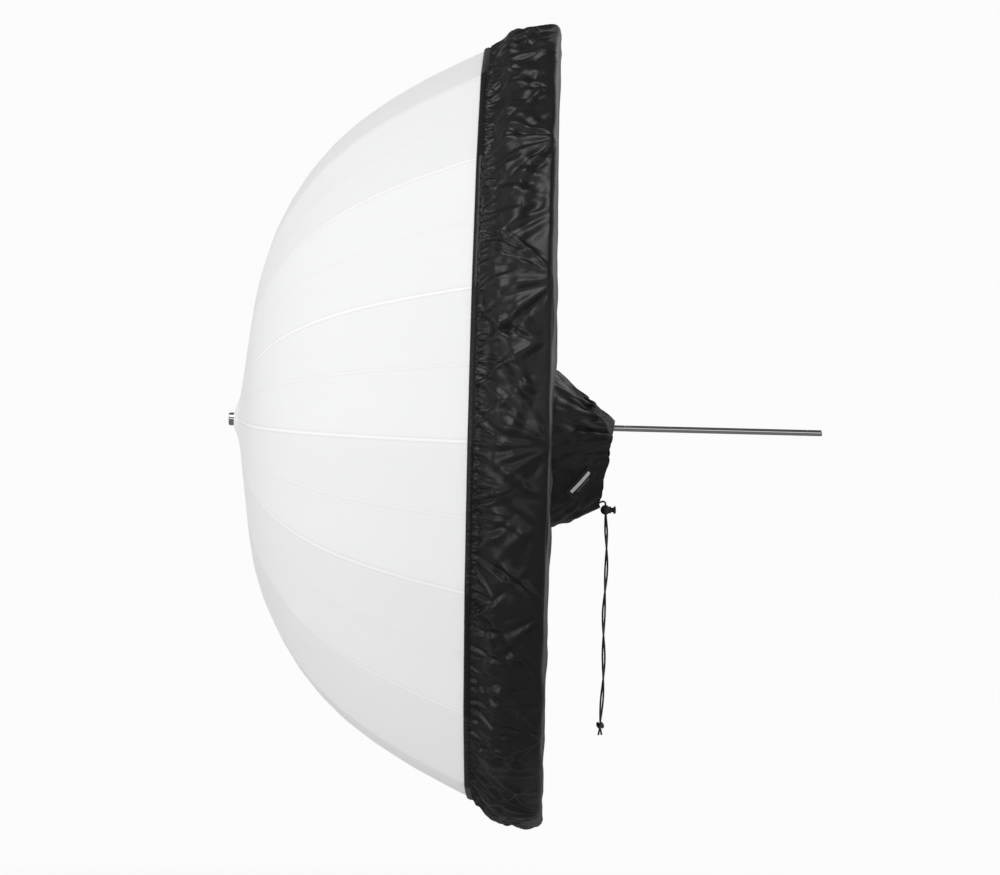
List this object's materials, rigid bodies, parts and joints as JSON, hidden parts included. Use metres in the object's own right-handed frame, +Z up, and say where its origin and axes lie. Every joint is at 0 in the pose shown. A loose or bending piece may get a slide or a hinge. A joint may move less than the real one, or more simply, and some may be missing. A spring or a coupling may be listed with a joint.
{
  "type": "umbrella reflector",
  "caption": "Deep translucent photographic umbrella with ribs, runner and an elastic black back panel whose drawcord sleeve closes round a lamp head; it folds along its shaft.",
  "frame": {"origin": "on the shaft axis at the ring seam where the tube ends and its 20 mm end cap begins", "axes": "+X along the shaft, out of its free end and away from the dome; +Z up, with the drawcord and cord lock hanging below at -Z; +Y completes the right-handed frame"},
  "size_m": [0.7866, 1.068, 1.068],
  "materials": {
    "chrome": "bright plated steel tube",
    "black_moulding": "fine satin black moulding",
    "white_cloth": "translucent white woven nylon",
    "black_cloth": "semi-gloss black woven nylon, elastic hem",
    "black_cord": "braided black cord",
    "glass_fibre": "pale pultruded glass fibre rod",
    "plated_steel": "zinc plated steel"
  },
  "bodies": {
    "shaft_assembly": {"shaft": "chrome", "shaft_end_cap": "chrome", "ferrule": "chrome", "crown": "black_moulding", "canopy": "white_cloth"},
    "runner": {"runner": "black_moulding"},
    "latch": {"runner_latch": "black_moulding"},
    "panel": {"back_panel": "black_cloth"},
    "cord": {"drawcord": "black_cord"},
    "cord_lock": {"cord_lock_body": "black_moulding", "cord_lock_spring": "plated_steel"},
    "cord_button": {"cord_lock_button": "black_moulding"},
    "rib_inner_01": {"rib_inner_01": "glass_fibre"},
    "rib_outer_01": {"rib_outer_01": "glass_fibre"},
    "stretcher_01": {"stretcher_01": "plated_steel"},
    "rib_inner_02": {"rib_inner_02": "glass_fibre"},
    "rib_outer_02": {"rib_outer_02": "glass_fibre"},
    "stretcher_02": {"stretcher_02": "plated_steel"},
    "rib_inner_03": {"rib_inner_03": "glass_fibre"},
    "rib_outer_03": {"rib_outer_03": "glass_fibre"},
    "stretcher_03": {"stretcher_03": "plated_steel"},
    "rib_inner_04": {"rib_inner_04": "glass_fibre"},
    "rib_outer_04": {"rib_outer_04": "glass_fibre"},
    "stretcher_04": {"stretcher_04": "plated_steel"},
    "rib_inner_05": {"rib_inner_05": "glass_fibre"},
    "rib_outer_05": {"rib_outer_05": "glass_fibre"},
    "stretcher_05": {"stretcher_05": "plated_steel"},
    "rib_inner_06": {"rib_inner_06": "glass_fibre"},
    "rib_outer_06": {"rib_outer_06": "glass_fibre"},
    "stretcher_06": {"stretcher_06": "plated_steel"},
    "rib_inner_07": {"rib_inner_07": "glass_fibre"},
    "rib_outer_07": {"rib_outer_07": "glass_fibre"},
    "stretcher_07": {"stretcher_07": "plated_steel"},
    "rib_inner_08": {"rib_inner_08": "glass_fibre"},
    "rib_outer_08": {"rib_outer_08": "glass_fibre"},
    "stretcher_08": {"stretcher_08": "plated_steel"},
    "rib_inner_09": {"rib_inner_09": "glass_fibre"},
    "rib_outer_09": {"rib_outer_09": "glass_fibre"},
    "stretcher_09": {"stretcher_09": "plated_steel"},
    "rib_inner_10": {"rib_inner_10": "glass_fibre"},
    "rib_outer_10": {"rib_outer_10": "glass_fibre"},
    "stretcher_10": {"stretcher_10": "plated_steel"},
    "rib_inner_11": {"rib_inner_11": "glass_fibre"},
    "rib_outer_11": {"rib_outer_11": "glass_fibre"},
    "stretcher_11": {"stretcher_11": "plated_steel"},
    "rib_inner_12": {"rib_inner_12": "glass_fibre"},
    "rib_outer_12": {"rib_outer_12": "glass_fibre"},
    "stretcher_12": {"stretcher_12": "plated_steel"},
    "rib_inner_13": {"rib_inner_13": "glass_fibre"},
    "rib_outer_13": {"rib_outer_13": "glass_fibre"},
    "stretcher_13": {"stretcher_13": "plated_steel"},
    "rib_inner_14": {"rib_inner_14": "glass_fibre"},
    "rib_outer_14": {"rib_outer_14": "glass_fibre"},
    "stretcher_14": {"stretcher_14": "plated_steel"},
    "rib_inner_15": {"rib_inner_15": "glass_fibre"},
    "rib_outer_15": {"rib_outer_15": "glass_fibre"},
    "stretcher_15": {"stretcher_15": "plated_steel"},
    "rib_inner_16": {"rib_inner_16": "glass_fibre"},
    "rib_outer_16": {"rib_outer_16": "glass_fibre"},
    "stretcher_16": {"stretcher_16": "plated_steel"}
  },
  "joints": [
    {"name": "runner_slide", "type": "slide", "parent": "shaft_assembly", "child": "runner", "axis": [1, 0, 0], "range_m": [0, 0.401], "deforming": ["canopy", "back_panel"]},
    {"name": "latch_rock", "type": "hinge", "parent": "runner", "child": "latch", "pos_m": [-0.6094, 0, 0.0082], "axis": [0, 1, 0], "range_deg": [0, 6], "stiffness_Nm_per_rad": 0.05},
    {"name": "panel_slide", "type": "slide", "parent": "shaft_assembly", "child": "panel", "axis": [1, 0, 0], "range_m": [0, 0.3]},
    {"name": "drawcord_rise", "type": "slide", "parent": "panel", "child": "cord", "axis": [0, 0, 1], "range_m": [0, 0.083]},
    {"name": "cord_lock_slide", "type": "slide", "parent": "cord", "child": "cord_lock", "axis": [0, 0, -1], "range_m": [0, 0.26]},
    {"name": "cord_button_press", "type": "slide", "parent": "cord_lock", "child": "cord_button", "axis": [-1, 0, 0], "range_m": [0, 0.003], "stiffness_N_per_m": 800, "deforming": ["cord_lock_spring"]},
    {"name": "rib_inner_01_hinge", "type": "hinge", "parent": "shaft_assembly", "child": "rib_inner_01", "pos_m": [-0.7489, -0.00064, 0.01399], "axis": [0, 0.999, 0.0454], "range_deg": [0, 75]},
    {"name": "rib_outer_01_hinge", "type": "hinge", "parent": "rib_inner_01", "child": "rib_outer_01", "pos_m": [-0.69169, -0.01262, 0.27785], "axis": [0, 0.999, 0.0454], "range_deg": [-39.6, 0]},
    {"name": "stretcher_01_hinge", "type": "hinge", "parent": "rib_inner_01", "child": "stretcher_01", "pos_m": [-0.69025, -0.01213, 0.2672], "axis": [0, 0.999, 0.0454], "range_deg": [-149.3, 0]},
    {"name": "rib_inner_02_hinge", "type": "hinge", "parent": "shaft_assembly", "child": "rib_inner_02", "pos_m": [-0.7489, 0.00477, 0.01316], "axis": [0, 0.9403, -0.3404], "range_deg": [0, 75]},
    {"name": "rib_outer_02_hinge", "type": "hinge", "parent": "rib_inner_02", "child": "rib_outer_02", "pos_m": [-0.69169, 0.09467, 0.26153], "axis": [0, 0.9403, -0.3404], "range_deg": [-39.6, 0]},
    {"name": "stretcher_02_hinge", "type": "hinge", "parent": "rib_inner_02", "child": "stretcher_02", "pos_m": [-0.69025, 0.09104, 0.2515], "axis": [0, 0.9403, -0.3404], "range_deg": [-149.3, 0]},
    {"name": "rib_inner_03_hinge", "type": "hinge", "parent": "shaft_assembly", "child": "rib_inner_03", "pos_m": [-0.7489, 0.00944, 0.01034], "axis": [0, 0.7385, -0.6743], "range_deg": [0, 75]},
    {"name": "rib_outer_03_hinge", "type": "hinge", "parent": "rib_inner_03", "child": "rib_outer_03", "pos_m": [-0.69169, 0.18755, 0.20539], "axis": [0, 0.7385, -0.6743], "range_deg": [-39.6, 0]},
    {"name": "stretcher_03_hinge", "type": "hinge", "parent": "rib_inner_03", "child": "stretcher_03", "pos_m": [-0.69025, 0.18036, 0.19752], "axis": [0, 0.7385, -0.6743], "range_deg": [-149.3, 0]},
    {"name": "rib_inner_04_hinge", "type": "hinge", "parent": "shaft_assembly", "child": "rib_inner_04", "pos_m": [-0.7489, 0.01268, 0.00594], "axis": [0, 0.4242, -0.9056], "range_deg": [0, 75]},
    {"name": "rib_outer_04_hinge", "type": "hinge", "parent": "rib_inner_04", "child": "rib_outer_04", "pos_m": [-0.69169, 0.25187, 0.11798], "axis": [0, 0.4242, -0.9056], "range_deg": [-39.6, 0]},
    {"name": "stretcher_04_hinge", "type": "hinge", "parent": "rib_inner_04", "child": "stretcher_04", "pos_m": [-0.69025, 0.24222, 0.11346], "axis": [0, 0.4242, -0.9056], "range_deg": [-149.3, 0]},
    {"name": "rib_inner_05_hinge", "type": "hinge", "parent": "shaft_assembly", "child": "rib_inner_05", "pos_m": [-0.7489, 0.01399, 0.00064], "axis": [0, 0.0454, -0.999], "range_deg": [0, 75]},
    {"name": "rib_outer_05_hinge", "type": "hinge", "parent": "rib_inner_05", "child": "rib_outer_05", "pos_m": [-0.69169, 0.27785, 0.01262], "axis": [0, 0.0454, -0.999], "range_deg": [-39.6, 0]},
    {"name": "stretcher_05_hinge", "type": "hinge", "parent": "rib_inner_05", "child": "stretcher_05", "pos_m": [-0.69025, 0.2672, 0.01213], "axis": [0, 0.0454, -0.999], "range_deg": [-149.3, 0]},
    {"name": "rib_inner_06_hinge", "type": "hinge", "parent": "shaft_assembly", "child": "rib_inner_06", "pos_m": [-0.7489, 0.01316, -0.00477], "axis": [0, -0.3404, -0.9403], "range_deg": [0, 75]},
    {"name": "rib_outer_06_hinge", "type": "hinge", "parent": "rib_inner_06", "child": "rib_outer_06", "pos_m": [-0.69169, 0.26153, -0.09467], "axis": [0, -0.3404, -0.9403], "range_deg": [-39.6, 0]},
    {"name": "stretcher_06_hinge", "type": "hinge", "parent": "rib_inner_06", "child": "stretcher_06", "pos_m": [-0.69025, 0.2515, -0.09104], "axis": [0, -0.3404, -0.9403], "range_deg": [-149.3, 0]},
    {"name": "rib_inner_07_hinge", "type": "hinge", "parent": "shaft_assembly", "child": "rib_inner_07", "pos_m": [-0.7489, 0.01034, -0.00944], "axis": [0, -0.6743, -0.7385], "range_deg": [0, 75]},
    {"name": "rib_outer_07_hinge", "type": "hinge", "parent": "rib_inner_07", "child": "rib_outer_07", "pos_m": [-0.69169, 0.20539, -0.18755], "axis": [0, -0.6743, -0.7385], "range_deg": [-39.6, 0]},
    {"name": "stretcher_07_hinge", "type": "hinge", "parent": "rib_inner_07", "child": "stretcher_07", "pos_m": [-0.69025, 0.19752, -0.18036], "axis": [0, -0.6743, -0.7385], "range_deg": [-149.3, 0]},
    {"name": "rib_inner_08_hinge", "type": "hinge", "parent": "shaft_assembly", "child": "rib_inner_08", "pos_m": [-0.7489, 0.00594, -0.01268], "axis": [0, -0.9056, -0.4242], "range_deg": [0, 75]},
    {"name": "rib_outer_08_hinge", "type": "hinge", "parent": "rib_inner_08", "child": "rib_outer_08", "pos_m": [-0.69169, 0.11798, -0.25187], "axis": [0, -0.9056, -0.4242], "range_deg": [-39.6, 0]},
    {"name": "stretcher_08_hinge", "type": "hinge", "parent": "rib_inner_08", "child": "stretcher_08", "pos_m": [-0.69025, 0.11346, -0.24222], "axis": [0, -0.9056, -0.4242], "range_deg": [-149.3, 0]},
    {"name": "rib_inner_09_hinge", "type": "hinge", "parent": "shaft_assembly", "child": "rib_inner_09", "pos_m": [-0.7489, 0.00064, -0.01399], "axis": [0, -0.999, -0.0454], "range_deg": [0, 75]},
    {"name": "rib_outer_09_hinge", "type": "hinge", "parent": "rib_inner_09", "child": "rib_outer_09", "pos_m": [-0.69169, 0.01262, -0.27785], "axis": [0, -0.999, -0.0454], "range_deg": [-39.6, 0]},
    {"name": "stretcher_09_hinge", "type": "hinge", "parent": "rib_inner_09", "child": "stretcher_09", "pos_m": [-0.69025, 0.01213, -0.2672], "axis": [0, -0.999, -0.0454], "range_deg": [-149.3, 0]},
    {"name": "rib_inner_10_hinge", "type": "hinge", "parent": "shaft_assembly", "child": "rib_inner_10", "pos_m": [-0.7489, -0.00477, -0.01316], "axis": [0, -0.9403, 0.3404], "range_deg": [0, 75]},
    {"name": "rib_outer_10_hinge", "type": "hinge", "parent": "rib_inner_10", "child": "rib_outer_10", "pos_m": [-0.69169, -0.09467, -0.26153], "axis": [0, -0.9403, 0.3404], "range_deg": [-39.6, 0]},
    {"name": "stretcher_10_hinge", "type": "hinge", "parent": "rib_inner_10", "child": "stretcher_10", "pos_m": [-0.69025, -0.09104, -0.2515], "axis": [0, -0.9403, 0.3404], "range_deg": [-149.3, 0]},
    {"name": "rib_inner_11_hinge", "type": "hinge", "parent": "shaft_assembly", "child": "rib_inner_11", "pos_m": [-0.7489, -0.00944, -0.01034], "axis": [0, -0.7385, 0.6743], "range_deg": [0, 75]},
    {"name": "rib_outer_11_hinge", "type": "hinge", "parent": "rib_inner_11", "child": "rib_outer_11", "pos_m": [-0.69169, -0.18755, -0.20539], "axis": [0, -0.7385, 0.6743], "range_deg": [-39.6, 0]},
    {"name": "stretcher_11_hinge", "type": "hinge", "parent": "rib_inner_11", "child": "stretcher_11", "pos_m": [-0.69025, -0.18036, -0.19752], "axis": [0, -0.7385, 0.6743], "range_deg": [-149.3, 0]},
    {"name": "rib_inner_12_hinge", "type": "hinge", "parent": "shaft_assembly", "child": "rib_inner_12", "pos_m": [-0.7489, -0.01268, -0.00594], "axis": [0, -0.4242, 0.9056], "range_deg": [0, 75]},
    {"name": "rib_outer_12_hinge", "type": "hinge", "parent": "rib_inner_12", "child": "rib_outer_12", "pos_m": [-0.69169, -0.25187, -0.11798], "axis": [0, -0.4242, 0.9056], "range_deg": [-39.6, 0]},
    {"name": "stretcher_12_hinge", "type": "hinge", "parent": "rib_inner_12", "child": "stretcher_12", "pos_m": [-0.69025, -0.24222, -0.11346], "axis": [0, -0.4242, 0.9056], "range_deg": [-149.3, 0]},
    {"name": "rib_inner_13_hinge", "type": "hinge", "parent": "shaft_assembly", "child": "rib_inner_13", "pos_m": [-0.7489, -0.01399, -0.00064], "axis": [0, -0.0454, 0.999], "range_deg": [0, 75]},
    {"name": "rib_outer_13_hinge", "type": "hinge", "parent": "rib_inner_13", "child": "rib_outer_13", "pos_m": [-0.69169, -0.27785, -0.01262], "axis": [0, -0.0454, 0.999], "range_deg": [-39.6, 0]},
    {"name": "stretcher_13_hinge", "type": "hinge", "parent": "rib_inner_13", "child": "stretcher_13", "pos_m": [-0.69025, -0.2672, -0.01213], "axis": [0, -0.0454, 0.999], "range_deg": [-149.3, 0]},
    {"name": "rib_inner_14_hinge", "type": "hinge", "parent": "shaft_assembly", "child": "rib_inner_14", "pos_m": [-0.7489, -0.01316, 0.00477], "axis": [0, 0.3404, 0.9403], "range_deg": [0, 75]},
    {"name": "rib_outer_14_hinge", "type": "hinge", "parent": "rib_inner_14", "child": "rib_outer_14", "pos_m": [-0.69169, -0.26153, 0.09467], "axis": [0, 0.3404, 0.9403], "range_deg": [-39.6, 0]},
    {"name": "stretcher_14_hinge", "type": "hinge", "parent": "rib_inner_14", "child": "stretcher_14", "pos_m": [-0.69025, -0.2515, 0.09104], "axis": [0, 0.3404, 0.9403], "range_deg": [-149.3, 0]},
    {"name": "rib_inner_15_hinge", "type": "hinge", "parent": "shaft_assembly", "child": "rib_inner_15", "pos_m": [-0.7489, -0.01034, 0.00944], "axis": [0, 0.6743, 0.7385], "range_deg": [0, 75]},
    {"name": "rib_outer_15_hinge", "type": "hinge", "parent": "rib_inner_15", "child": "rib_outer_15", "pos_m": [-0.69169, -0.20539, 0.18755], "axis": [0, 0.6743, 0.7385], "range_deg": [-39.6, 0]},
    {"name": "stretcher_15_hinge", "type": "hinge", "parent": "rib_inner_15", "child": "stretcher_15", "pos_m": [-0.69025, -0.19752, 0.18036], "axis": [0, 0.6743, 0.7385], "range_deg": [-149.3, 0]},
    {"name": "rib_inner_16_hinge", "type": "hinge", "parent": "shaft_assembly", "child": "rib_inner_16", "pos_m": [-0.7489, -0.00594, 0.01268], "axis": [0, 0.9056, 0.4242], "range_deg": [0, 75]},
    {"name": "rib_outer_16_hinge", "type": "hinge", "parent": "rib_inner_16", "child": "rib_outer_16", "pos_m": [-0.69169, -0.11798, 0.25187], "axis": [0, 0.9056, 0.4242], "range_deg": [-39.6, 0]},
    {"name": "stretcher_16_hinge", "type": "hinge", "parent": "rib_inner_16", "child": "stretcher_16", "pos_m": [-0.69025, -0.11346, 0.24222], "axis": [0, 0.9056, 0.4242], "range_deg": [-149.3, 0]}
  ],
  "couplings": [
    {"joint": "panel_slide", "follows": "runner_slide", "ratio": 0.73317},
    {"joint": "drawcord_rise", "follows": "runner_slide", "ratio": 0.20449},
    {"joint": "rib_inner_01_hinge", "follows": "runner_slide", "rad_per_m": 3.2547},
    {"joint": "rib_outer_01_hinge", "follows": "runner_slide", "rad_per_m": -1.7155},
    {"joint": "stretcher_01_hinge", "follows": "runner_slide", "rad_per_m": -6.4891},
    {"joint": "rib_inner_02_hinge", "follows": "runner_slide", "rad_per_m": 3.2547},
    {"joint": "rib_outer_02_hinge", "follows": "runner_slide", "rad_per_m": -1.7155},
    {"joint": "stretcher_02_hinge", "follows": "runner_slide", "rad_per_m": -6.4891},
    {"joint": "rib_inner_03_hinge", "follows": "runner_slide", "rad_per_m": 3.2547},
    {"joint": "rib_outer_03_hinge", "follows": "runner_slide", "rad_per_m": -1.7155},
    {"joint": "stretcher_03_hinge", "follows": "runner_slide", "rad_per_m": -6.4891},
    {"joint": "rib_inner_04_hinge", "follows": "runner_slide", "rad_per_m": 3.2547},
    {"joint": "rib_outer_04_hinge", "follows": "runner_slide", "rad_per_m": -1.7155},
    {"joint": "stretcher_04_hinge", "follows": "runner_slide", "rad_per_m": -6.4891},
    {"joint": "rib_inner_05_hinge", "follows": "runner_slide", "rad_per_m": 3.2547},
    {"joint": "rib_outer_05_hinge", "follows": "runner_slide", "rad_per_m": -1.7155},
    {"joint": "stretcher_05_hinge", "follows": "runner_slide", "rad_per_m": -6.4891},
    {"joint": "rib_inner_06_hinge", "follows": "runner_slide", "rad_per_m": 3.2547},
    {"joint": "rib_outer_06_hinge", "follows": "runner_slide", "rad_per_m": -1.7155},
    {"joint": "stretcher_06_hinge", "follows": "runner_slide", "rad_per_m": -6.4891},
    {"joint": "rib_inner_07_hinge", "follows": "runner_slide", "rad_per_m": 3.2547},
    {"joint": "rib_outer_07_hinge", "follows": "runner_slide", "rad_per_m": -1.7155},
    {"joint": "stretcher_07_hinge", "follows": "runner_slide", "rad_per_m": -6.4891},
    {"joint": "rib_inner_08_hinge", "follows": "runner_slide", "rad_per_m": 3.2547},
    {"joint": "rib_outer_08_hinge", "follows": "runner_slide", "rad_per_m": -1.7155},
    {"joint": "stretcher_08_hinge", "follows": "runner_slide", "rad_per_m": -6.4891},
    {"joint": "rib_inner_09_hinge", "follows": "runner_slide", "rad_per_m": 3.2547},
    {"joint": "rib_outer_09_hinge", "follows": "runner_slide", "rad_per_m": -1.7155},
    {"joint": "stretcher_09_hinge", "follows": "runner_slide", "rad_per_m": -6.4891},
    {"joint": "rib_inner_10_hinge", "follows": "runner_slide", "rad_per_m": 3.2547},
    {"joint": "rib_outer_10_hinge", "follows": "runner_slide", "rad_per_m": -1.7155},
    {"joint": "stretcher_10_hinge", "follows": "runner_slide", "rad_per_m": -6.4891},
    {"joint": "rib_inner_11_hinge", "follows": "runner_slide", "rad_per_m": 3.2547},
    {"joint": "rib_outer_11_hinge", "follows": "runner_slide", "rad_per_m": -1.7155},
    {"joint": "stretcher_11_hinge", "follows": "runner_slide", "rad_per_m": -6.4891},
    {"joint": "rib_inner_12_hinge", "follows": "runner_slide", "rad_per_m": 3.2547},
    {"joint": "rib_outer_12_hinge", "follows": "runner_slide", "rad_per_m": -1.7155},
    {"joint": "stretcher_12_hinge", "follows": "runner_slide", "rad_per_m": -6.4891},
    {"joint": "rib_inner_13_hinge", "follows": "runner_slide", "rad_per_m": 3.2547},
    {"joint": "rib_outer_13_hinge", "follows": "runner_slide", "rad_per_m": -1.7155},
    {"joint": "stretcher_13_hinge", "follows": "runner_slide", "rad_per_m": -6.4891},
    {"joint": "rib_inner_14_hinge", "follows": "runner_slide", "rad_per_m": 3.2547},
    {"joint": "rib_outer_14_hinge", "follows": "runner_slide", "rad_per_m": -1.7155},
    {"joint": "stretcher_14_hinge", "follows": "runner_slide", "rad_per_m": -6.4891},
    {"joint": "rib_inner_15_hinge", "follows": "runner_slide", "rad_per_m": 3.2547},
    {"joint": "rib_outer_15_hinge", "follows": "runner_slide", "rad_per_m": -1.7155},
    {"joint": "stretcher_15_hinge", "follows": "runner_slide", "rad_per_m": -6.4891},
    {"joint": "rib_inner_16_hinge", "follows": "runner_slide", "rad_per_m": 3.2547},
    {"joint": "rib_outer_16_hinge", "follows": "runner_slide", "rad_per_m": -1.7155},
    {"joint": "stretcher_16_hinge", "follows": "runner_slide", "rad_per_m": -6.4891}
  ]
}
